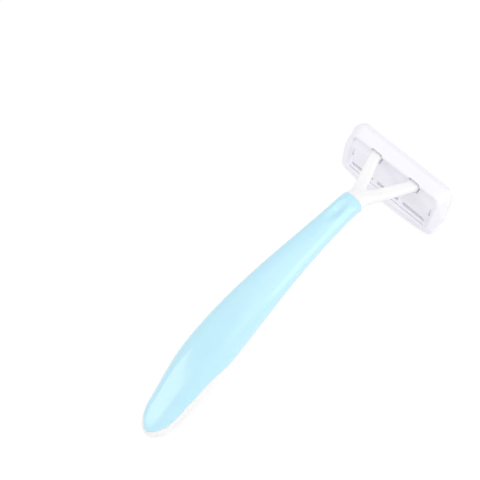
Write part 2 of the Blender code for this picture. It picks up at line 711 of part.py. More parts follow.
def wire_path():
    """The winding's centre line: flat turns round the blade, each one pitch along it."""
    reach = 0.5 * BLADE_THICKNESS + WIRE_GAP + 0.5 * WIRE_DIAMETER
    front = -WIRE_GAP - 0.5 * WIRE_DIAMETER + reach
    back = BLADE_DEPTH + WIRE_GAP + 0.5 * WIRE_DIAMETER - reach
    turn = []
    for k in range(5):
        a = math.radians(90.0 + 45.0 * k)
        turn.append((front + reach * math.cos(a), reach * math.sin(a)))
    for k in range(5):
        a = math.radians(-90.0 + 45.0 * k)
        turn.append((back + reach * math.cos(a), reach * math.sin(a)))
    lengths = [0.0]
    for k in range(len(turn)):
        a, b = turn[k], turn[(k + 1) % len(turn)]
        lengths.append(lengths[-1] + math.dist(a, b))
    pitch = (BLADE_LENGTH - 2.0 * WIRE_MARGIN) / WIRE_TURNS
    start = -0.5 * pitch * WIRE_TURNS
    path = []
    for n in range(WIRE_TURNS):
        for k, (along, lift) in enumerate(turn):
            y = start + pitch * (n + lengths[k] / lengths[-1])
            path.append(on_blade(along, lift, y))
    return path, len(turn)


def least_gap(path, per_turn):
    """The smallest distance between the winding's surfaces, turn to turn, in millimetres."""
    least = math.inf
    for i, here in enumerate(path):
        for j in range(i + per_turn // 2, min(len(path), i + 2 * per_turn)):
            least = min(least, (path[j] - here).length)
    return least - WIRE_DIAMETER


def make_guard_wire():
    """One unbroken wire wound round the blade, as a tube on a poly curve."""
    path, per_turn = wire_path()
    print(f"guard wire: {WIRE_TURNS} turns, least gap to itself {least_gap(path, per_turn):.2f} mm")
    curve = bpy.data.curves.new("guard_wire", "CURVE")
    curve.dimensions = "3D"
    curve.bevel_depth = 0.5 * WIRE_DIAMETER
    curve.bevel_resolution = 1
    curve.use_fill_caps = True
    line = curve.splines.new("POLY")
    line.points.add(len(path) - 1)
    for point, place in zip(line.points, path):
        point.co = (*place, 1.0)
    thing = bpy.data.objects.new("guard_wire", curve)
    bpy.context.scene.collection.objects.link(thing)
    bpy.context.view_layer.update()
    tube = bpy.data.meshes.new_from_object(thing.evaluated_get(bpy.context.evaluated_depsgraph_get()))
    bpy.data.objects.remove(thing)
    builder = bmesh.new()
    builder.from_mesh(tube)
    return make_object("guard_wire", builder)


def empty(name, parent=None):
    made = bpy.data.objects.new(name, None)
    bpy.context.scene.collection.objects.link(made)
    made.parent = parent
    return made


def resting_angle(points):
    """Turn about Y that lays the lower hull edge below mid-length level."""
    ordered = sorted((p.x, p.z) for p in points)
    hull = []
    for point in ordered:
        while len(hull) > 1:
            (ax, az), (bx, bz) = hull[-2], hull[-1]
            if (bx - ax) * (point[1] - az) - (bz - az) * (point[0] - ax) > 0.0:
                break
            hull.pop()
        hull.append(point)
    middle = 0.5 * (ordered[0][0] + ordered[-1][0])
    for (ax, az), (bx, bz) in zip(hull, hull[1:]):
        if ax <= middle <= bx:
            return math.atan2(bz - az, bx - ax)
    return 0.0


def lay_down(handle_pieces, head_pieces):
    """Hangs the pieces on two empties: the lying handle and, on its pins' axis, the tilted head."""
    lying = empty("lying_handle")
    swinging = empty("head_pivot", lying)
    tilt = Matrix.Rotation(math.radians(-HEAD_TILT), 4, "Y")
    back = Matrix.Translation(Vector((-PIVOT_X, 0.0, -PIVOT_HEIGHT)) * MM)
    for thing in head_pieces:
        thing.data.transform(back)
    points = [vertex.co.copy() for thing in handle_pieces for vertex in thing.data.vertices]
    points += [tilt @ vertex.co for thing in head_pieces for vertex in thing.data.vertices]
    turn = Matrix.Rotation(resting_angle(points), 4, "Y")
    placed = [turn @ p for p in points]
    low = Vector([min(p[axis] for p in placed) for axis in range(3)])
    high = Vector([max(p[axis] for p in placed) for axis in range(3)])
    shift = Vector((-0.5 * (low.x + high.x), -0.5 * (low.y + high.y), -low.z))
    lying.matrix_basis = Matrix.Translation(shift) @ turn
    swinging.matrix_basis = tilt
    for thing in handle_pieces:
        thing.parent = lying
    for thing in head_pieces:
        thing.parent = swinging
    bpy.context.view_layer.update()
    return lying, swinging, high - low


def main():
    for old in list(bpy.data.objects):
        bpy.data.objects.remove(old)
    white = material("white_plastic", (0.90, 0.90, 0.93), 0.32)
    base_white = material("head_base_plastic", (0.88, 0.88, 0.92), 0.34)
    cap_white = material("head_cap_plastic", (0.90, 0.90, 0.93), 0.28)
    sky = material("cover_plastic", (0.55, 0.85, 0.96), 0.22)
    steel = material("blade_steel", (0.72, 0.72, 0.70), 0.25, 1.0)
    wire_steel = material("wire_steel", (0.60, 0.60, 0.58), 0.30, 1.0)
    handle = [finish(make_handle_core(), white), finish(make_grip_cover(), sky)]
    head = [finish(make_head_base(), base_white), finish(make_head_cap(), cap_white),
            finish(make_blade(), steel), finish(make_guard_wire(), wire_steel)]
    lying, swinging, size = lay_down(handle, head)
    face = swinging.matrix_world @ (Vector((0.68 * HEAD_DEPTH - PIVOT_X, 0.0, -PIVOT_HEIGHT)) * MM)
    normal = swinging.matrix_world.to_3x3() @ Vector((0.0, 0.0, -1.0))
    print("size in mm", [round(v / MM, 3) for v in size])
    print("pins' axis at", [round(v, 6) for v in swinging.matrix_world.translation])
    print("face point", [round(v, 6) for v in face], "facing", [round(v, 6) for v in normal])


main()
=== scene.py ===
"""Looks for a body shaver with a swinging head.

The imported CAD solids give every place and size. Each visible piece is a finer skin that stands for
its solid. The white mouldings are remeshed with the small fillets that a mould leaves, and are a
little fuller than their solids, so that the seams look as fine as they are on the real shaver. The
grip cover is lofted again from its own formulas, slightly proud of the core and closing its seam.
The blade strip and its winding are drawn anew.

Sizes are in millimetres unless a name or a class says metres. The handle has its own frame, with
the origin on the pins' axis, X towards the head and Z up. The head has another: X from the guard
edge to the far edge, Y along the blade, Z from the face to the back.
"""

import json
import logging
import math
from dataclasses import dataclass, field, replace
from enum import Enum

import bmesh
import bpy
import numpy as np
from mathutils import Matrix, Vector
from mathutils.bvhtree import BVHTree


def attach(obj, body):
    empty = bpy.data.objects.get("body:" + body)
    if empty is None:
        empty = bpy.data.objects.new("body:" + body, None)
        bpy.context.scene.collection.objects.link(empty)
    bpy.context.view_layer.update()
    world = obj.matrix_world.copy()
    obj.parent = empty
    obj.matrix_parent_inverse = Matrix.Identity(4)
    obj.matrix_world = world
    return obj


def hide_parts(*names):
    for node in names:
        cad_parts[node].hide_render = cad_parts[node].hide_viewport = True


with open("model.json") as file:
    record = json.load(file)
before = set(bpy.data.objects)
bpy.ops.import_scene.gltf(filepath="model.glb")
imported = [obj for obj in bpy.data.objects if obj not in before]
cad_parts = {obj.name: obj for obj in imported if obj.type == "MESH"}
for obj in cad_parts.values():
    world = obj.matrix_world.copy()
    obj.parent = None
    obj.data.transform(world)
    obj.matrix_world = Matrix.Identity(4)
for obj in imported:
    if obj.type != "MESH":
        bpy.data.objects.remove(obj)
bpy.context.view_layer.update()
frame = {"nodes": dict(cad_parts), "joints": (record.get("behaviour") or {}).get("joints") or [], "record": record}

LOG = logging.getLogger("body_shaver")
MM = 0.001

# Points nearer than this are one point: in a piece drawn in millimetres, and in a solid in metres
MERGE_MM = 1e-5
MERGE_METRES = 1e-7

# The middle of a noise, where most of its values lie
NOISE_LOW, NOISE_HIGH = 0.3, 0.7

WHITE_LIGHT = (1.0, 1.0, 1.0, 1.0)

Colour = tuple[float, float, float]
Point = tuple[float, float, float]


class Body(Enum):
    """The two bodies that the joint parts."""

    HANDLE = "handle"
    HEAD = "head"


def smoothstep(t: float) -> float:
    """Ease a share between 0 and 1, held at its ends."""
    t = min(max(t, 0.0), 1.0)
    return t * t * (3.0 - 2.0 * t)


def link(thing: bpy.types.Object) -> bpy.types.Object:
    """Put an object into the scene and hand it back."""
    bpy.context.scene.collection.objects.link(thing)
    return thing


def mesh_object(name: str, builder: bmesh.types.BMesh, place: Matrix,
                sharp_degrees: float = 180.0) -> bpy.types.Object:
    """Turn a mesh in progress into a smooth shaded object.

    Args:
        name: Name of the piece.
        builder: The mesh in its own frame, freed here.
        place: From the mesh's own frame to the scene.
        sharp_degrees: Edges that bend by more than this stay sharp.

    Returns:
        The linked object, with its place in its vertices.
    """
    bmesh.ops.remove_doubles(builder, verts=builder.verts, dist=MERGE_MM)
    bmesh.ops.recalc_face_normals(builder, faces=builder.faces)
    mesh = bpy.data.meshes.new(name)
    builder.to_mesh(mesh)
    builder.free()
    mesh.transform(place)
    mesh.shade_smooth()
    mesh.set_sharp_from_angle(angle=math.radians(sharp_degrees))
    return link(bpy.data.objects.new(name, mesh))


def loft(builder: bmesh.types.BMesh, rings: list[list[Vector]]) -> None:
    """Join closed rings of equally many points into a tube and close its ends.

    Args:
        builder: The mesh that takes the faces.
        rings: The rings in order.
    """
    rows = [[builder.verts.new(point) for point in ring] for ring in rings]
    count = len(rows[0])
    for low, high in zip(rows, rows[1:]):
        for k in range(count):
            n = (k + 1) % count
            builder.faces.new((low[k], low[n], high[n], high[k]))
    builder.faces.new(rows[0][::-1])
    builder.faces.new(rows[-1])


@dataclass(frozen=True)
class Stance:
    """Where the two frames lie, with the pivot and the head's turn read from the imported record.

    The handle's frame is turned tilt_degrees from the head's, and the pins' axis crosses the head's
    frame at pivot_x and pivot_height.
    """

    tilt_degrees: float = 40.9
    pivot_x: float = 14.0
    pivot_height: float = 3.35

    def pivot(self) -> Vector:
        """The middle of the pins' axis, in metres."""
        return Vector(frame["joints"][0]["pos_m"])

    def head_turn(self) -> float:
        """Turn of the head about Y, in radians, from the way its face looks."""
        axis = Vector(frame["record"]["mounts"][0]["axis"])
        return math.atan2(-axis.x, -axis.z)

    def from_handle(self) -> Matrix:
        """From the handle's frame in millimetres to the row frame in metres."""
        turn = self.head_turn() + math.radians(self.tilt_degrees)
        return Matrix.Translation(self.pivot()) @ Matrix.Rotation(turn, 4, "Y") @ Matrix.Scale(MM, 4)

    def from_head(self) -> Matrix:
        """The head's place.

        Returns:
            From the head's frame in millimetres to the row frame in metres.
        """
        back = Matrix.Translation(Vector((-self.pivot_x, 0.0, -self.pivot_height)))
        turn = Matrix.Rotation(self.head_turn(), 4, "Y")
        return Matrix.Translation(self.pivot()) @ turn @ Matrix.Scale(MM, 4) @ back

    def from_head_in_mm(self) -> Matrix:
        """From the head's frame to the row frame, both in millimetres."""
        return Matrix.Scale(1.0 / MM, 4) @ self.from_head()


@dataclass
class NodeSheet:
    """Small helper that places and wires shader nodes."""

    material: bpy.types.Material
    spacing: float = 220.0
    column: int = 0

    def __post_init__(self) -> None:
        """Clear the node tree and add the output."""
        self.material.use_nodes = True
        self.tree = self.material.node_tree
        self.tree.nodes.clear()
        self.output = self.add("ShaderNodeOutputMaterial")

    def add(self, kind: str, **settings: object) -> bpy.types.Node:
        """Add a node.

        Args:
            kind: Blender's name of the node type.
            **settings: Attributes of the node, or socket values given by their names with
                underscores for spaces.

        Returns:
            The node.
        """
        node = self.tree.nodes.new(kind)
        node.location = (self.spacing * self.column, 0.0)
        self.column -= 1
        for key, value in settings.items():
            socket = node.inputs.get(key.replace("_", " "))
            if socket is not None:
                socket.default_value = value
            else:
                setattr(node, key, value)
        return node

    def join(self, source: bpy.types.NodeSocket, target: bpy.types.NodeSocket) -> None:
        """Wire an output to an input."""
        self.tree.links.new(source, target)

    def noise(self, scale: float, detail: float,
              stretch: Point = (1.0, 1.0, 1.0)) -> bpy.types.NodeSocket:
        """A noise pattern fixed to the piece.

        Args:
            scale: Waves per metre.
            detail: Octaves.
            stretch: Scale factors along X, Y and Z.

        Returns:
            The noise's value output.
        """
        place = self.add("ShaderNodeTexCoord")
        mapping = self.add("ShaderNodeMapping", Scale=stretch)
        texture = self.add("ShaderNodeTexNoise", Scale=scale, Detail=detail)
        self.join(place.outputs["Object"], mapping.inputs["Vector"])
        self.join(mapping.outputs["Vector"], texture.inputs["Vector"])
        return texture.outputs["Fac"]

    def ramp(self, value: bpy.types.NodeSocket, low: Colour, high: Colour) -> bpy.types.NodeSocket:
        """Turn a noise into a blend of two colours.

        Args:
            value: The noise.
            low: Colour at its low side.
            high: Colour at its high side.

        Returns:
            The ramp's colour output.
        """
        ramp = self.add("ShaderNodeValToRGB")
        first, last = ramp.color_ramp.elements
        first.position, last.position = NOISE_LOW, NOISE_HIGH
        first.color, last.color = (*low, 1.0), (*high, 1.0)
        self.join(value, ramp.inputs["Fac"])
        return ramp.outputs["Color"]

    def span(self, value: bpy.types.NodeSocket, low: float, high: float) -> bpy.types.NodeSocket:
        """Turn a noise into a range of numbers.

        Args:
            value: The noise.
            low: Number at its low side.
            high: Number at its high side.

        Returns:
            The mapped value.
        """
        step = self.add("ShaderNodeMapRange", From_Min=NOISE_LOW, From_Max=NOISE_HIGH,
                        To_Min=low, To_Max=high)
        self.join(value, step.inputs["Value"])
        return step.outputs["Result"]

    def bump(self, value: bpy.types.NodeSocket, depth: float, strength: float,
             under: bpy.types.NodeSocket | None = None) -> bpy.types.NodeSocket:
        """A fine relief.

        Args:
            value: Height pattern.
            depth: Height in metres.
            strength: Share of the relief that shows.
            under: Normal of a coarser relief below it.

        Returns:
            The normal output.
        """
        relief = self.add("ShaderNodeBump", Strength=strength, Distance=depth)
        self.join(value, relief.inputs["Height"])
        if under is not None:
            self.join(under, relief.inputs["Normal"])
        return relief.outputs["Normal"]


@dataclass(frozen=True)
class MouldedPlastic:
    """A moulded plastic: faint mottling, a slightly uneven gloss and a fine moulded skin.

    Scales are in waves per metre, and depths and the glow's reach in metres.
    """

    name: str
    colour: Colour
    mottle: Colour
    gloss: tuple[float, float]
    specular: float = 0.5
    refraction: float = 1.5
    coat: float = 0.0
    coat_roughness: float = 0.08
    translucency: float = 0.0
    glow: Colour = (1.0, 1.0, 1.0)
    glow_reach: float = 0.0012
    mottle_scale: float = 70.0
    mottle_detail: float = 3.0
    flow_scale: float = 160.0
    flow_detail: float = 2.0
    flow_stretch: Point = (0.25, 1.0, 1.0)
    wave_depth: float = 2.5e-5
    wave_strength: float = 0.35
    skin_scale: float = 5200.0
    skin_detail: float = 2.0
    skin_depth: float = 6e-6
    skin_strength: float = 0.3

    def material(self) -> bpy.types.Material:
        """Build the material.

        Returns:
            A node material with colour, roughness and relief from its own patterns.
        """
        sheet = NodeSheet(bpy.data.materials.new(self.name))
        shader = sheet.add("ShaderNodeBsdfPrincipled", Specular_IOR_Level=self.specular,
                           Coat_Weight=self.coat, Coat_Roughness=self.coat_roughness,
                           IOR=self.refraction, Subsurface_Weight=self.translucency,
                           Subsurface_Radius=self.glow, Subsurface_Scale=self.glow_reach)
        mottle = sheet.noise(self.mottle_scale, self.mottle_detail)
        flow = sheet.noise(self.flow_scale, self.flow_detail, self.flow_stretch)
        skin = sheet.noise(self.skin_scale, self.skin_detail)
        sheet.join(sheet.ramp(mottle, self.mottle, self.colour), shader.inputs["Base Color"])
        sheet.join(sheet.span(flow, *self.gloss), shader.inputs["Roughness"])
        wave = sheet.bump(flow, self.wave_depth, self.wave_strength)
        relief = sheet.bump(skin, self.skin_depth, self.skin_strength, wave)
        sheet.join(relief, shader.inputs["Normal"])
        sheet.join(shader.outputs["BSDF"], sheet.output.inputs["Surface"])
        return sheet.material


@dataclass(frozen=True)
class GroundSteel:
    """Steel with fine grinding lines along one direction, and a clouded gloss.

    Scales are in waves per metre, and depths in metres.
    """

    name: str
    colour: Colour
    streak: Colour
    gloss: tuple[float, float]
    stretch: Point = (60.0, 1.0, 60.0)
    line_scale: float = 260.0
    line_detail: float = 4.0
    line_depth: float = 4e-6
    line_strength: float = 0.5
    cloud_scale: float = 350.0
    cloud_detail: float = 2.0

    def material(self) -> bpy.types.Material:
        """Build the material.

        Returns:
            A metallic node material with streaks in colour and relief, and clouds in gloss.
        """
        sheet = NodeSheet(bpy.data.materials.new(self.name))
        shader = sheet.add("ShaderNodeBsdfPrincipled", Metallic=1.0)
        lines = sheet.noise(self.line_scale, self.line_detail, self.stretch)
        cloud = sheet.noise(self.cloud_scale, self.cloud_detail)
        sheet.join(sheet.ramp(lines, self.streak, self.colour), shader.inputs["Base Color"])
        sheet.join(sheet.span(cloud, *self.gloss), shader.inputs["Roughness"])
        relief = sheet.bump(lines, self.line_depth, self.line_strength)
        sheet.join(relief, shader.inputs["Normal"])
        sheet.join(shader.outputs["BSDF"], sheet.output.inputs["Surface"])
        return sheet.material


Finish = MouldedPlastic | GroundSteel


@dataclass(frozen=True)
class StudioPaper:
    """Paper that is pure white to the camera and in reflections, but keeps the object's shadow.

    The white gives way to plain lit paper in the hollow under the object: over shade_reach metres
    round it, where the share of open sky falls from shade_to to shade_from.
    """

    name: str = "white_paper"
    colour: Colour = (0.90, 0.90, 0.90)
    seen_share: float = 0.88
    seen_strength: float = 1.03
    shade_reach: float = 0.015
    shade_samples: int = 8
    shade_from: float = 0.15
    shade_to: float = 0.45
    grain_scale: float = 900.0
    grain_detail: float = 2.0
    grain_lift: float = 1.01

    def material(self) -> bpy.types.Material:
        """Build the material.

        Returns:
            Plain diffuse paper, over which rays from the camera and reflections add white.
        """
        sheet = NodeSheet(bpy.data.materials.new(self.name))
        paper = sheet.add("ShaderNodeBsdfDiffuse")
        grain = sheet.noise(self.grain_scale, self.grain_detail)
        lighter = tuple(min(1.0, c * self.grain_lift) for c in self.colour)
        sheet.join(sheet.ramp(grain, self.colour, lighter), paper.inputs["Color"])
        white = sheet.add("ShaderNodeEmission", Color=WHITE_LIGHT, Strength=self.seen_strength)
        mix = sheet.add("ShaderNodeMixShader")
        sheet.join(self.white_share(sheet), mix.inputs[0])
        sheet.join(paper.outputs["BSDF"], mix.inputs[1])
        sheet.join(white.outputs["Emission"], mix.inputs[2])
        sheet.join(mix.outputs["Shader"], sheet.output.inputs["Surface"])
        return sheet.material

    def white_share(self, sheet: NodeSheet) -> bpy.types.NodeSocket:
        """How much of the white shows.

        Args:
            sheet: The node sheet.

        Returns:
            The share: none for light on its way, and less in the hollow under the object.
        """
        path = sheet.add("ShaderNodeLightPath")
        seen = path.outputs["Is Camera Ray"]
        for kind in ("Is Glossy Ray", "Is Transmission Ray"):
            either = sheet.add("ShaderNodeMath", operation="MAXIMUM")
            sheet.join(seen, either.inputs[0])
            sheet.join(path.outputs[kind], either.inputs[1])
            seen = either.outputs[0]
        hollow = sheet.add("ShaderNodeAmbientOcclusion", Distance=self.shade_reach,
                           samples=self.shade_samples)
        open_part = sheet.add("ShaderNodeMapRange", From_Min=self.shade_from, From_Max=self.shade_to,
                              To_Min=0.0, To_Max=self.seen_share)
        sheet.join(hollow.outputs["AO"], open_part.inputs["Value"])
        share = sheet.add("ShaderNodeMath", operation="MULTIPLY")
        sheet.join(seen, share.inputs[0])
        sheet.join(open_part.outputs["Result"], share.inputs[1])
        return share.outputs[0]


WHITE_HANDLE = MouldedPlastic("white_handle_plastic", (0.975, 0.968, 0.978), (0.965, 0.955, 0.97),
                              (0.26, 0.34), translucency=0.3, glow=(1.0, 0.98, 1.0))
WHITE_HEAD = MouldedPlastic("white_head_plastic", (0.94, 0.928, 0.985), (0.925, 0.912, 0.98),
                            (0.30, 0.38))
WHITE_CAP = replace(WHITE_HEAD, name="white_cap_plastic", gloss=(0.24, 0.32))
SKY_COVER = MouldedPlastic("sky_blue_cover_plastic", (0.56, 0.86, 0.99), (0.54, 0.845, 0.985),
                           (0.14, 0.20), specular=0.6, coat=0.25, translucency=0.15,
                           glow=(0.6, 0.9, 1.0))
BLADE_STEEL = GroundSteel("ground_blade_steel", (0.74, 0.74, 0.73), (0.58, 0.58, 0.58), (0.20, 0.32))
WIRE_STEEL = GroundSteel("drawn_wire_steel", (0.66, 0.66, 0.65), (0.50, 0.50, 0.50), (0.24, 0.36),
                         stretch=(1.0, 40.0, 1.0), line_scale=420.0, line_depth=2e-6)


@dataclass
class Piece:
    """What every visible piece has: a name, its solid, a body, a finish and its stance."""

    name: str
    node: str
    body: Body
    finish: Finish
    stance: Stance = field(default_factory=Stance)

    def dress(self, thing: bpy.types.Object) -> bpy.types.Object:
        """Give a finished mesh its look and hang it on its body.

        Args:
            thing: The finished piece, in place.

        Returns:
            The same object.
        """
        thing.data.materials.clear()
        thing.data.materials.append(self.finish.material())
        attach(thing, self.body.value)
        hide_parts(self.node)
        return thing


@dataclass
class MouldedSkin(Piece):
    """A fine skin over a CAD solid: remeshed, relaxed into small fillets, then thinned out.

    It keeps its edges crisp beside the solid crisp_by, swells along its normals to narrow the
    seams, and swells by snug_swell more beside the solid snug_by. Each reach gives the distances
    from that solid at which its effect begins to change and has ended.
    """

    voxel: float = 0.2
    draft_factor: float = 2.0
    fillet_passes: int = 4
    fair_passes: int = 14
    faces: int = 100000
    pull: float = 0.5
    push: float = -0.53
    crisp_by: str = ""
    crisp_reach: tuple[float, float] = (0.3, 0.9)
    swell: float = 0.0
    snug_by: str = ""
    snug_reach: tuple[float, float] = (0.5, 1.0)
    snug_swell: float = 0.0

    def evaluate(self, thing: bpy.types.Object) -> None:
        """Apply the modifiers of an object to its own mesh.

        Args:
            thing: The object.
        """
        bpy.context.view_layer.update()
        made = bpy.data.meshes.new_from_object(
            thing.evaluated_get(bpy.context.evaluated_depsgraph_get()))
        thing.modifiers.clear()
        thing.data = made

    def beyond(self, points: np.ndarray, node: str, reach: tuple[float, float]) -> np.ndarray:
        """Share of each point that grows from 0 near a solid to 1 away from it.

        Args:
            points: The skin's points.
            node: The solid's node, or nothing.
            reach: Distances at which the share leaves 0 and meets 1.

        Returns:
            A column of shares.
        """
        shares = np.ones((len(points), 1))
        if not node:
            return shares
        mesh = frame["nodes"][node].data
        corners = [vertex.co / MM for vertex in mesh.vertices]
        tree = BVHTree.FromPolygons(corners, [tuple(face.vertices) for face in mesh.polygons])
        near, far = reach
        for i, point in enumerate(points):
            distance = tree.find_nearest(point, far)[3]
            if distance is not None:
                shares[i] = smoothstep((distance - near) / (far - near))
        return shares

    def relaxed(self, mesh: bpy.types.Mesh, points: np.ndarray) -> np.ndarray:
        """Round the edges, then fair what is left without shrinking it.

        Args:
            mesh: The remeshed skin, in millimetres.
            points: Its points.

        Returns:
            The points, moved.
        """
        count = len(points)
        ends = np.empty(len(mesh.edges) * 2, np.int64)
        mesh.edges.foreach_get("vertices", ends)
        first, second = ends.reshape(-1, 2).T
        valence = np.bincount(ends, minlength=count)[:, None]
        soft = self.beyond(points, self.crisp_by, self.crisp_reach)
        weights = [self.pull * soft] * self.fillet_passes + [self.pull, self.push] * self.fair_passes
        for weight in weights:
            around = np.empty_like(points)
            for axis in range(3):
                around[:, axis] = (np.bincount(first, points[second, axis], count)
                                   + np.bincount(second, points[first, axis], count))
            points = points + weight * (around / valence - points)
        return points

    def form(self, mesh: bpy.types.Mesh) -> None:
        """Relax the skin and swell it.

        Args:
            mesh: The remeshed skin, in millimetres.
        """
        count = len(mesh.vertices)
        points = np.empty(count * 3)
        mesh.vertices.foreach_get("co", points)
        points = points.reshape(-1, 3)
        snug = 1.0 - self.beyond(points, self.snug_by, self.snug_reach)
        points = self.relaxed(mesh, points)
        mesh.vertices.foreach_set("co", points.ravel())
        mesh.update()
        normals = np.empty(count * 3)
        mesh.vertex_normals.foreach_get("vector", normals)
        swollen = points + (self.swell + self.snug_swell * snug) * normals.reshape(-1, 3)
        mesh.vertices.foreach_set("co", swollen.ravel())
        mesh.update()

    def add_details(self, thing: bpy.types.Object) -> None:
        """Add what the remesh is too coarse for: nothing on a plain moulding."""

    def build(self) -> bpy.types.Object:
        """Build the skin and dress it.

        Returns:
            The finished piece.
        """
        mesh = frame["nodes"][self.node].data.copy()
        mesh.name = self.name
        builder = bmesh.new()
        builder.from_mesh(mesh)
        bmesh.ops.remove_doubles(builder, verts=builder.verts, dist=MERGE_METRES)
        builder.to_mesh(mesh)
        builder.free()
        mesh.transform(Matrix.Scale(1.0 / MM, 4))
        thing = link(bpy.data.objects.new(self.name, mesh))
        step = thing.modifiers.new("remesh", "REMESH")
        step.mode = "VOXEL"
        step.voxel_size = self.voxel * 1.0
        self.evaluate(thing)
        self.form(thing.data)
        if len(thing.data.polygons) > self.faces:
            thin = thing.modifiers.new("thin", "DECIMATE")
            # The ratio counts triangles, of which each face of the remesh holds two
            thin.ratio = 0.5 * self.faces / len(thing.data.polygons)
            self.evaluate(thing)
        self.add_details(thing)
        thing.data.transform(Matrix.Scale(MM, 4))
        thing.data.shade_smooth()
        return self.dress(thing)


@dataclass
class HandleCore(MouldedSkin):
    """The white core of the handle, with its neck, fork and pins."""

    name: str = "handle_core_skin"
    node: str = "handle_core"
    body: Body = Body.HANDLE
    finish: Finish = WHITE_HANDLE
    voxel: float = 0.24
    fillet_passes: int = 7
    fair_passes: int = 30
    faces: int = 110000
    crisp_by: str = "grip_cover"
    swell: float = 0.03
    snug_by: str = "head_base"
    snug_swell: float = 0.07


@dataclass
class HeadBase(MouldedSkin):
    """The base of the head, with a fine groove at the foot of the pocket's near wall."""

    name: str = "head_base_skin"
    node: str = "head_base"
    body: Body = Body.HEAD
    finish: Finish = WHITE_HEAD
    voxel: float = 0.175
    swell: float = 0.06
    snug_by: str = "handle_core"
    snug_swell: float = 0.05
    groove_x: float = 2.1
    groove_width: float = 0.32
    groove_length: float = 34.6
    groove_bottom: float = 2.48
    groove_top: float = 3.0

    def add_details(self, thing: bpy.types.Object) -> None:
        """Cut the groove.

        Args:
            thing: The base's skin, in millimetres of the row frame.
        """
        size = Vector((self.groove_width, self.groove_length, self.groove_top - self.groove_bottom))
        middle = Vector((self.groove_x, 0.0, 0.5 * (self.groove_top + self.groove_bottom)))
        place = self.stance.from_head_in_mm() @ Matrix.LocRotScale(middle, None, size)
        builder = bmesh.new()
        bmesh.ops.create_cube(builder, size=1.0, matrix=place)
        cutter = mesh_object("groove_cutter", builder, Matrix())
        step = thing.modifiers.new("groove", "BOOLEAN")
        step.operation, step.solver, step.object = "DIFFERENCE", "EXACT", cutter
        self.evaluate(thing)
        bpy.data.objects.remove(cutter)


@dataclass
class HeadCap(MouldedSkin):
    """The cap, with a nib on each locating tab that nearly fills the vent of the base above it."""

    name: str = "head_cap_skin"
    node: str = "head_cap"
    body: Body = Body.HEAD
    finish: Finish = WHITE_CAP
    voxel: float = 0.18
    faces: int = 70000
    swell: float = 0.08
    nib_width: float = 0.28
    nib_from: float = 6.72
    nib_to: float = 9.28
    nib_foot: float = 2.5
    nib_side: float = 17.685
    nib_drop: float = 0.25
    floor_foot: tuple[float, float] = (5.0, 2.8)
    floor_top: tuple[float, float] = (10.4, 4.6)

    def floor_height(self, x: float) -> float:
        """Height of the pocket's sloping floor above a place on the head."""
        (x0, z0), (x1, z1) = self.floor_foot, self.floor_top
        return z0 + (z1 - z0) * (x - x0) / (x1 - x0)

    def add_details(self, thing: bpy.types.Object) -> None:
        """Add the two nibs.

        Args:
            thing: The cap's skin, in millimetres of the row frame.
        """
        place = self.stance.from_head_in_mm()
        builder = bmesh.new()
        builder.from_mesh(thing.data)
        skin = set(builder.faces)
        for middle in (self.nib_side, -self.nib_side):
            near, far = middle - 0.5 * self.nib_width, middle + 0.5 * self.nib_width
            rings: list[list[Vector]] = []
            for x in (self.nib_from, self.nib_to):
                top = self.floor_height(x) - self.nib_drop
                corners = ((near, self.nib_foot), (far, self.nib_foot), (far, top), (near, top))
                rings.append([place @ Vector((x, y, z)) for y, z in corners])
            loft(builder, rings)
        nibs = [face for face in builder.faces if face not in skin]
        bmesh.ops.recalc_face_normals(builder, faces=nibs)
        builder.to_mesh(thing.data)
        builder.free()


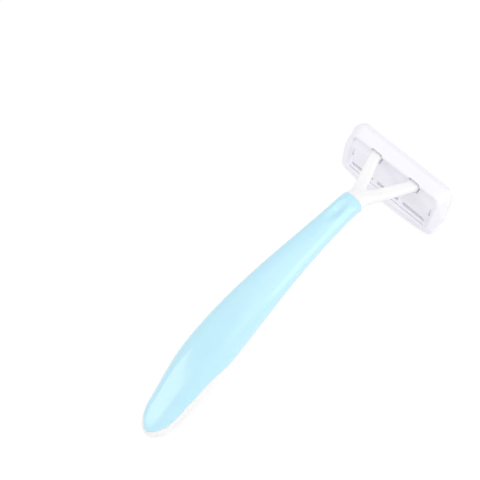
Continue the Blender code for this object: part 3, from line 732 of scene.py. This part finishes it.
@dataclass
class HandleForm:
    """The line and the sections of the handle, with slopes as rise over run."""

    neck_reach: float = 20.55
    neck_rise: float = 9.35
    grip_length: float = 101.7
    tail_drop: float = 8.75
    arch_rise: float = 7.9
    neck_width: float = 7.5
    grip_width: float = 15.9
    tail_width: float = 11.5
    neck_thickness: float = 5.4
    grip_thickness: float = 9.0
    tail_thickness: float = 6.6
    section_power: float = 2.7
    crown_share: float = 0.5
    widest_share: float = 0.70
    tail_width_share: float = 0.95
    tail_round_share: float = 0.915
    tail_thin_power: float = 0.6
    arm_slope: float = 0.408
    bend_from_share: float = 0.68
    bend_to_share: float = 1.16

    def arch(self, x: float) -> tuple[float, float]:
        """Height and slope of the grip's rise above the chord from neck to tail.

        Args:
            x: Place along the handle.

        Returns:
            The height and the slope there.
        """
        u = (-self.neck_reach - x) / self.grip_length
        height = self.neck_rise - self.tail_drop * u + self.arch_rise * math.sin(math.pi * u)
        slope = (self.tail_drop - self.arch_rise * math.pi * math.cos(math.pi * u)) / self.grip_length
        return height, slope

    def spine(self, x: float) -> tuple[float, float]:
        """Height and slope of the centre line: straight arms, a bend, then the arch.

        Args:
            x: Place along the handle.

        Returns:
            The height and the slope there.
        """
        start, end = -self.bend_from_share * self.neck_reach, -self.bend_to_share * self.neck_reach
        if x >= start:
            return -self.arm_slope * x, -self.arm_slope
        if x <= end:
            return self.arch(x)
        span = end - start
        t = (x - start) / span
        h0, m0 = -self.arm_slope * start, -self.arm_slope * span
        h1, slope = self.arch(end)
        m1 = slope * span
        height = ((2 * t**3 - 3 * t**2 + 1) * h0 + (t**3 - 2 * t**2 + t) * m0
                  + (3 * t**2 - 2 * t**3) * h1 + (t**3 - t**2) * m1)
        rate = ((6 * t**2 - 6 * t) * h0 + (3 * t**2 - 4 * t + 1) * m0
                + (6 * t - 6 * t**2) * h1 + (3 * t**2 - 2 * t) * m1)
        return height, rate / span

    def on_spine(self, x: float, side: float, lift: float) -> Vector:
        """A point beside the centre line.

        Args:
            x: Place along the handle.
            side: Distance sideways.
            lift: Distance square to the line, towards the crown.

        Returns:
            The point in the handle's frame.
        """
        height, slope = self.spine(x)
        length = math.hypot(1.0, slope)
        return Vector((x - lift * slope / length, side, height + lift / length))

    def grip_x(self, u: float) -> float:
        """Place along the handle of a share of the grip."""
        return -self.neck_reach - u * self.grip_length

    def section(self, u: float) -> tuple[float, float]:
        """Half the width and half the thickness of the grip.

        Args:
            u: Share of the grip, from neck to tail.

        Returns:
            The half width and the half thickness.
        """
        if u < self.widest_share:
            t = smoothstep(u / self.widest_share)
            wide = self.neck_width + (self.grip_width - self.neck_width) * t
            thick = self.neck_thickness + (self.grip_thickness - self.neck_thickness) * t
        else:
            t = smoothstep((u - self.widest_share) / (self.tail_width_share - self.widest_share))
            wide = self.grip_width + (self.tail_width - self.grip_width) * t
            thick = self.grip_thickness + (self.tail_thickness - self.grip_thickness) * t
        closing = max(0.0, (u - self.tail_round_share) / (1.0 - self.tail_round_share))
        plan = math.sqrt(max(0.0, 1.0 - closing**2))
        return 0.5 * wide * plan, self.crown_share * thick * plan**self.tail_thin_power

    def outline(self, u: float, angle: float, depth: float) -> tuple[float, float]:
        """A point on the grip's outline, drawn in by a depth.

        Args:
            u: Share of the grip.
            angle: Angle from the crown.
            depth: How far the outline is drawn in.

        Returns:
            Side and lift.
        """
        half, reach = self.section(u)
        power = 2.0 / self.section_power
        side = math.copysign(abs(math.sin(angle)) ** power, math.sin(angle))
        lift = math.copysign(abs(math.cos(angle)) ** power, math.cos(angle))
        return side * (half - depth), lift * (reach - depth)


@dataclass
class GripCover(Piece):
    """The coloured shell over the handle's top and flanks, with a scalloped lip and a thumb dimple.

    It stands proud of the core's outline, and its lip and ends reach seam_fill into the seam.
    """

    name: str = "grip_cover_shell"
    node: str = "grip_cover"
    body: Body = Body.HANDLE
    finish: Finish = SKY_COVER
    shape: HandleForm = field(default_factory=HandleForm)
    wall: float = 1.2
    proud: float = 0.3
    seam_fill: float = 0.2
    tip_inset: float = 1.9
    blunt: float = 0.25
    edge_share: float = 0.42
    wave_share: float = 0.13
    wave_length: float = 14.0
    tail_edge_share: float = 0.50
    climb_share: float = 0.56
    level_share: float = 0.75
    close_share: float = 0.88
    close_power: float = 1.5
    lip_round: float = 0.3
    lip_most_share: float = 0.3
    end_round: float = 0.2
    dimple_length: float = 10.0
    dimple_width: float = 4.2
    dimple_depth: float = 0.85
    dimple_reach: float = 6.5
    rim_height: float = 0.10
    rim_place: float = 1.15
    rim_spread: float = 0.22
    arc_points: int = 40
    lip_points: int = 5
    end_rings: int = 6
    start_margin: float = 0.3
    end_margin: float = 0.1
    fine_step: float = 0.32
    coarse_step: float = 0.62
    fine_until: float = 12.0
    fine_from_share: float = 0.9
    probe_angle: float = 0.02
    least_probe: float = 0.004
    sharp_degrees: float = 60.0

    def edge_angle(self, u: float) -> float:
        """Angle from the crown to the scalloped edge, which closes in an arc at the tail.

        Args:
            u: Share of the grip.

        Returns:
            The angle in radians.
        """
        length = self.shape.grip_length
        half_power = 0.5 * self.shape.section_power
        tip = 1.0 - self.tip_inset / length
        wave = self.wave_share * math.sin(2.0 * math.pi * u * length / self.wave_length)
        climb = smoothstep((u - self.climb_share) / (self.level_share - self.climb_share))
        closing = min(max((u - self.close_share) / (tip - self.close_share), 0.0), 1.0)
        level = (wave - self.edge_share) * (1.0 - climb) + self.tail_edge_share * climb
        level = 1.0 - (1.0 - level) * (1.0 - closing**self.close_power) ** half_power
        return math.acos(math.copysign(abs(level) ** half_power, level))

    def dimple(self, x: float, side: float) -> float:
        """Depth of the thumb dimple, with a low rim round it.

        Args:
            x: Place along the handle.
            side: Distance from the middle.

        Returns:
            The depth, below zero on the rim.
        """
        along = (x + self.shape.neck_reach + self.dimple_reach) / (0.5 * self.dimple_length)
        across = side / (0.5 * self.dimple_width)
        away = math.sqrt(along**2 + across**2)
        hollow = self.dimple_depth * (1.0 - smoothstep(away))
        rim = self.rim_height * math.exp(-((away - self.rim_place) / self.rim_spread) ** 2)
        return hollow - rim

    def drawn(self, distance: float) -> float:
        """How far the outer skin is drawn in at a distance from the shell's end."""
        share = 1.0 - distance / self.end_round
        return self.end_round * (1.0 - math.sqrt(max(0.0, 1.0 - share**2)))

    def stations(self) -> list[tuple[float, float]]:
        """Shares of the grip for the rings, each with the rounding of the shell's ends.

        Returns:
            Pairs of a share and how far the outer skin is drawn in there.
        """
        length = self.shape.grip_length
        first = -self.seam_fill / length
        last = 1.0 - (self.tip_inset + self.blunt - self.seam_fill) / length
        turns = [0.5 * math.pi * k / (self.end_rings - 1) for k in range(self.end_rings)]
        ease = [self.end_round * (1.0 - math.cos(turn)) for turn in turns]
        start = [(first + s / length, self.drawn(s)) for s in ease]
        end = [(last - s / length, self.drawn(s)) for s in reversed(ease)]
        marks: list[float] = []
        x = self.end_round + self.start_margin
        while x < last * length - self.end_round - self.end_margin:
            marks.append(x / length)
            fine = x < self.fine_until or x > self.fine_from_share * length
            x += self.fine_step if fine else self.coarse_step
        return start + [(u, 0.0) for u in marks] + end

    def point(self, u: float, angle: float, depth: float) -> Vector:
        """A point of the shell, sunk by the dimple's share at its depth.

        Args:
            u: Share of the grip.
            angle: Angle from the crown.
            depth: Depth below the grip's outline.

        Returns:
            The point in the handle's frame.
        """
        x = self.shape.grip_x(u)
        side, lift = self.shape.outline(u, angle, depth)
        sunk = self.dimple(x, side) * (1.0 - max(depth, 0.0) / self.wall)
        return self.shape.on_spine(x, side, lift - sunk)

    def ring(self, u: float, drawn: float) -> list[Vector]:
        """One closed ring of the shell: outer arc, rounded lip, inner arc, rounded lip.

        Args:
            u: Share of the grip.
            drawn: How far the outer skin is drawn in.

        Returns:
            The ring's points.
        """
        limit = self.edge_angle(u)
        here = Vector(self.shape.outline(u, limit, 0.0))
        there = Vector(self.shape.outline(u, limit - self.probe_angle, 0.0))
        per_mm = self.probe_angle / max((here - there).length, self.least_probe)
        limit += self.seam_fill * per_mm
        lip = min(self.lip_round, self.lip_most_share * limit / per_mm)
        outer = limit - lip * per_mm
        skin = drawn - self.proud
        shares = [k / self.arc_points for k in range(-self.arc_points, self.arc_points + 1)]
        turns = [0.5 * math.pi * k / self.lip_points for k in range(1, self.lip_points + 1)]
        rounding = [(outer + lip * per_mm * math.sin(turn),
                     min(skin + lip * (1.0 - math.cos(turn)), self.wall)) for turn in turns]
        places = [(outer * share, skin) for share in shares] + rounding
        places += [(-limit * share, self.wall) for share in shares]
        places += [(-angle, depth) for angle, depth in reversed(rounding)]
        return [self.point(u, angle, depth) for angle, depth in places]

    def build(self) -> bpy.types.Object:
        """Loft the shell and dress it.

        Returns:
            The finished piece.
        """
        builder = bmesh.new()
        loft(builder, [self.ring(u, drawn) for u, drawn in self.stations()])
        return self.dress(mesh_object(self.name, builder, self.stance.from_handle(),
                                      self.sharp_degrees))


@dataclass
class BladeFrame:
    """Where the blade strip lies in the head, and the sizes that it shares with its winding."""

    length: float = 34.1
    depth: float = 4.4
    thickness: float = 0.2
    bevel: float = 0.7
    slope_degrees: float = 24.0
    edge_x: float = 4.8
    edge_height: float = 0.35
    wire_gap: float = 0.12
    wire_diameter: float = 0.24
    wire_turns: int = 24
    wire_margin: float = 0.25

    def point(self, along: float, lift: float, y: float) -> Vector:
        """A point at a depth behind the cutting edge and a height square to the blade.

        Args:
            along: Depth behind the edge.
            lift: Height square to the blade.
            y: Place along the blade.

        Returns:
            The point in the head's frame.
        """
        slope = math.radians(self.slope_degrees)
        return Vector((self.edge_x + along * math.cos(slope) - lift * math.sin(slope), y,
                       self.edge_height + along * math.sin(slope) + lift * math.cos(slope)))


@dataclass
class BladeStrip(Piece):
    """The blade strip, ground to a fine edge from both sides in two facets, with eased corners."""

    name: str = "blade_strip"
    node: str = "blade"
    body: Body = Body.HEAD
    finish: Finish = BLADE_STEEL
    form: BladeFrame = field(default_factory=BladeFrame)
    edge_half: float = 0.012
    honed: float = 0.16
    honed_half: float = 0.036
    end_ease: float = 0.06
    back_ease: float = 0.05
    spans: int = 60
    sharp_degrees: float = 6.0

    def section(self, ease: float) -> list[tuple[float, float]]:
        """The strip's outline at one place.

        Args:
            ease: How far the outline is drawn in at the strip's ends.

        Returns:
            Pairs of a depth behind the edge and a height.
        """
        form = self.form
        half = 0.5 * form.thickness - ease
        upper = [(ease, self.edge_half), (self.honed + ease, self.honed_half), (form.bevel, half),
                 (form.depth - self.back_ease - ease, half),
                 (form.depth - ease, half - self.back_ease)]
        return upper + [(along, -lift) for along, lift in reversed(upper)]

    def build(self) -> bpy.types.Object:
        """Loft the strip and dress it.

        Returns:
            The finished piece.
        """
        half = 0.5 * self.form.length
        reach = half - self.end_ease
        marks = [-reach + 2.0 * reach * k / self.spans for k in range(self.spans + 1)]
        stations = [(-half, self.end_ease)] + [(y, 0.0) for y in marks] + [(half, self.end_ease)]
        rings = [[self.form.point(along, lift, y) for along, lift in self.section(ease)]
                 for y, ease in stations]
        builder = bmesh.new()
        loft(builder, rings)
        return self.dress(mesh_object(self.name, builder, self.stance.from_head(),
                                      self.sharp_degrees))


@dataclass
class GuardWire(Piece):
    """The fine wire wound round the blade strip, as one round tube."""

    name: str = "guard_wire_tube"
    node: str = "guard_wire"
    body: Body = Body.HEAD
    finish: Finish = WIRE_STEEL
    form: BladeFrame = field(default_factory=BladeFrame)
    arc_points: int = 9
    run_points: int = 4
    sides: int = 10
    sharp_degrees: float = 50.0

    def turn(self) -> list[tuple[float, float]]:
        """One turn round the strip: half a circle, a straight run, half a circle and a run back.

        Returns:
            Pairs of a depth behind the edge and a height.
        """
        form = self.form
        off = form.wire_gap + 0.5 * form.wire_diameter
        reach = 0.5 * form.thickness + off
        front, back = 0.5 * form.thickness, form.depth + off - reach
        points: list[tuple[float, float]] = []
        for begin, end, side in ((front, back, 1.0), (back, front, -1.0)):
            for k in range(self.arc_points):
                angle = math.pi * (0.5 * side + k / (self.arc_points - 1))
                points.append((begin + reach * math.cos(angle), reach * math.sin(angle)))
            shares = [k / self.run_points for k in range(1, self.run_points)]
            points += [(begin + (end - begin) * share, -side * reach) for share in shares]
        return points

    def path(self) -> list[Vector]:
        """The winding's centre line.

        Returns:
            Points in the head's frame, turn after turn.
        """
        form, turn = self.form, self.turn()
        lengths = [0.0]
        for here, there in zip(turn, turn[1:] + turn[:1]):
            lengths.append(lengths[-1] + math.dist(here, there))
        pitch = (form.length - 2.0 * form.wire_margin) / form.wire_turns
        first = -0.5 * pitch * form.wire_turns
        return [form.point(along, lift, first + pitch * (n + lengths[k] / lengths[-1]))
                for n in range(form.wire_turns) for k, (along, lift) in enumerate(turn)]

    def build(self) -> bpy.types.Object:
        """Sweep the wire along its line and dress it.

        Returns:
            The finished piece.
        """
        path = self.path()
        radius = 0.5 * self.form.wire_diameter
        turns = [2.0 * math.pi * k / self.sides for k in range(self.sides)]
        rings: list[list[Vector]] = []
        side = Vector((0.0, 1.0, 0.0))
        for i, here in enumerate(path):
            ahead = (path[min(i + 1, len(path) - 1)] - path[max(i - 1, 0)]).normalized()
            side = (side - ahead * side.dot(ahead)).normalized()
            up = ahead.cross(side)
            rings.append([here + radius * (side * math.cos(a) + up * math.sin(a)) for a in turns])
        builder = bmesh.new()
        loft(builder, rings)
        return self.dress(mesh_object(self.name, builder, self.stance.from_head(),
                                      self.sharp_degrees))


@dataclass
class Handle:
    """The handle: the white core with its fork, and the coloured cover."""

    core: HandleCore = field(default_factory=HandleCore)
    cover: GripCover = field(default_factory=GripCover)

    def build(self) -> list[bpy.types.Object]:
        """Build both pieces and hand them back."""
        return [piece.build() for piece in (self.core, self.cover)]


@dataclass
class Head:
    """The head: base, cap, blade strip and guard wire."""

    base: HeadBase = field(default_factory=HeadBase)
    cap: HeadCap = field(default_factory=HeadCap)
    strip: BladeStrip = field(default_factory=BladeStrip)
    wire: GuardWire = field(default_factory=GuardWire)

    def build(self) -> list[bpy.types.Object]:
        """Build the four pieces and hand them back."""
        return [piece.build() for piece in (self.base, self.cap, self.strip, self.wire)]


@dataclass(frozen=True)
class SoftLamp:
    """A soft rectangular lamp, with its places and sides in metres."""

    name: str
    place: Point
    aim: Point
    size: tuple[float, float]
    watts: float

    def build(self) -> bpy.types.Object:
        """Hang the lamp.

        Returns:
            The lamp's object.
        """
        light = bpy.data.lights.new(self.name, "AREA")
        light.shape = "RECTANGLE"
        light.size, light.size_y = self.size
        light.energy = self.watts
        lamp = link(bpy.data.objects.new(self.name, light))
        lamp.location = self.place
        lamp.rotation_euler = (Vector(self.aim) - Vector(self.place)).to_track_quat("-Z", "Y").to_euler()
        return lamp


@dataclass
class Studio:
    """A white paper floor, soft lamps and the camera of the photograph.

    Places and the floor's sizes are in metres, and the lens and its sensor in millimetres.
    """

    camera_place: Point = (-0.05344, -0.14635, 0.37041)
    camera_right: Point = (0.70969, -0.67345, -0.20263)
    camera_down: Point = (-0.68832, -0.60652, -0.39579)
    lens: float = 88.87
    sensor: float = 36.0
    clip: tuple[float, float] = (0.01, 20.0)
    paper: StudioPaper = StudioPaper()
    floor_reach: float = 3.0
    floor_sides: int = 24
    floor_drop: float = 0.0001
    sky_strength: float = 0.71
    lamps: tuple[SoftLamp, ...] = (
        SoftLamp("key_softbox", (0.15, -0.12, 0.96), (0.0, 0.0, 0.0), (1.0, 1.0), 1.9),
        SoftLamp("tail_softbox", (-0.66, 0.46, 0.46), (-0.03, 0.0, 0.0), (0.46, 0.38), 1.0),
        SoftLamp("side_softbox", (0.28, -0.70, 0.49), (0.0, 0.0, 0.0), (0.44, 0.95), 2.15),
    )

    def floor(self) -> None:
        """Lay a wide flat sheet of the paper a hair below the shaver."""
        builder = bmesh.new()
        bmesh.ops.create_circle(builder, cap_ends=True, radius=self.floor_reach,
                                segments=self.floor_sides)
        floor = mesh_object("paper_floor", builder, Matrix.Translation((0.0, 0.0, -self.floor_drop)))
        if floor.data.polygons[0].normal.z < 0.0:
            floor.data.flip_normals()
        floor.data.materials.append(self.paper.material())

    def sky(self) -> None:
        """Even white light all round, seen as pure white."""
        world = bpy.data.worlds.new("white_surround")
        bpy.context.scene.world = world
        world.use_nodes = True
        tree = world.node_tree
        tree.nodes.clear()
        path = tree.nodes.new("ShaderNodeLightPath")
        lit = tree.nodes.new("ShaderNodeBackground")
        lit.inputs["Strength"].default_value = self.sky_strength
        seen = tree.nodes.new("ShaderNodeBackground")
        for shade in (lit, seen):
            shade.inputs["Color"].default_value = WHITE_LIGHT
        mix = tree.nodes.new("ShaderNodeMixShader")
        out = tree.nodes.new("ShaderNodeOutputWorld")
        tree.links.new(path.outputs["Is Camera Ray"], mix.inputs[0])
        tree.links.new(lit.outputs[0], mix.inputs[1])
        tree.links.new(seen.outputs[0], mix.inputs[2])
        tree.links.new(mix.outputs[0], out.inputs["Surface"])

    def camera(self) -> None:
        """Set the camera as the photograph was taken."""
        right, down = Vector(self.camera_right).normalized(), Vector(self.camera_down).normalized()
        ahead = right.cross(down).normalized()
        turn = Matrix((right, -down, -ahead)).transposed()
        data = bpy.data.cameras.new("photo_camera")
        data.lens = self.lens
        data.sensor_width = self.sensor
        data.clip_start, data.clip_end = self.clip
        camera = link(bpy.data.objects.new("photo_camera", data))
        camera.matrix_world = Matrix.Translation(Vector(self.camera_place)) @ turn.to_4x4()
        bpy.context.scene.camera = camera

    def build(self) -> None:
        """Build the whole studio."""
        self.camera()
        self.floor()
        self.sky()
        for lamp in self.lamps:
            lamp.build()
        bpy.context.scene.view_settings.view_transform = "Standard"


def main() -> None:
    """Build the studio and the shaver's two assemblies, and report each piece."""
    logging.basicConfig(level=logging.INFO, format="%(name)s: %(message)s")
    Studio().build()
    for assembly in (Handle(), Head()):
        for thing in assembly.build():
            LOG.info("%s: %d faces", thing.name, len(thing.data.polygons))


if __name__ == "__main__":
    main()
